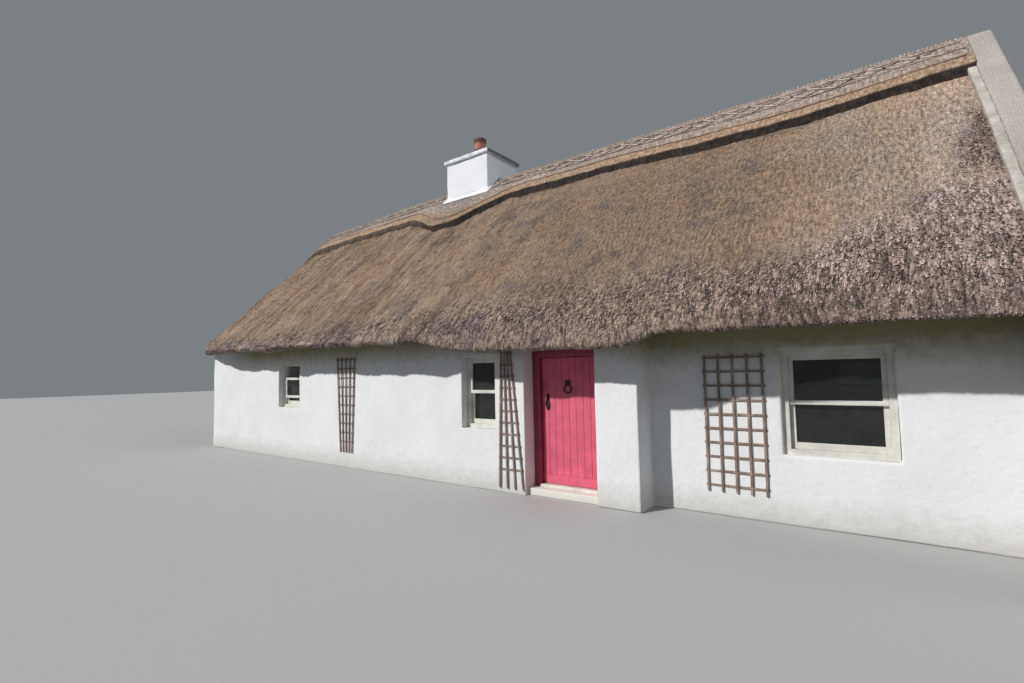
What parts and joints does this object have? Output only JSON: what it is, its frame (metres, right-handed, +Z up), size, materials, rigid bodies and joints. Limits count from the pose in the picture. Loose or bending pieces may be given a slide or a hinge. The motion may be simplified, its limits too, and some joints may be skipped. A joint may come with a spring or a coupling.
{
  "type": "thatched cottage",
  "caption": "Low limewashed cottage under a long straw thatch with a block-cut ridge, rendered chimney, boarded door and sash windows.",
  "frame": {"origin": "on the ground in the middle of the plan, under the floor slab", "axes": "+X along the front wall towards the party wall, +Y from the front wall to the back wall, +Z up"},
  "size_m": [13.8, 7.06, 6.5853],
  "materials": {
    "limewash": "matte",
    "party_render": "rough",
    "flagstone": "worn",
    "thatch": "rough",
    "ridge_straw": "rough",
    "cement": "weathered",
    "clay": "weathered",
    "door_paint": "satin",
    "frame_paint": "satin",
    "cream_paint": "satin",
    "glass": "clear",
    "black_iron": "satin",
    "weathered_wood": "weathered"
  },
  "bodies": {
    "house": {"left_gable_wall": "limewash", "front_wall_left": "limewash", "front_wall_right": "limewash", "wall_over_door": "limewash", "back_wall": "limewash", "chimney_stack": "limewash", "chimney_flaunching": "limewash", "door_step": "limewash", "party_wall": "party_render", "floor": "flagstone", "front_thatch": "thatch", "back_thatch": "thatch", "block_ridge": "ridge_straw", "party_wall_fillet_front": "cement", "party_wall_fillet_back": "cement", "chimney_cap": "cement", "chimney_pot": "clay", "door_frame": "frame_paint", "door_threshold": "cream_paint", "left_window_frame": "cream_paint", "left_window_sashes": "cream_paint", "middle_window_frame": "cream_paint", "middle_window_sashes": "cream_paint", "right_window_frame": "cream_paint", "right_window_sashes": "cream_paint", "back_window_1_frame": "cream_paint", "back_window_2_frame": "cream_paint", "back_window_3_frame": "cream_paint", "left_window_glass": "glass", "middle_window_glass": "glass", "right_window_glass": "glass", "back_window_1_glass": "glass", "back_window_2_glass": "glass", "back_window_3_glass": "glass", "door_pintle_lower": "black_iron", "door_pintle_upper": "black_iron", "fan_trellis": "weathered_wood", "door_trellis": "weathered_wood", "square_trellis": "weathered_wood"},
    "door": {"door_leaf": "door_paint", "door_handle": "black_iron", "door_knocker": "black_iron", "door_strap_lower": "black_iron", "door_strap_upper": "black_iron"}
  },
  "joints": [
    {"name": "door_hinge", "type": "hinge", "parent": "house", "child": "door", "pos_m": [2.90225, -2.567, 0], "axis": [0, 0, -1], "range_deg": [0, 90]}
  ]
}
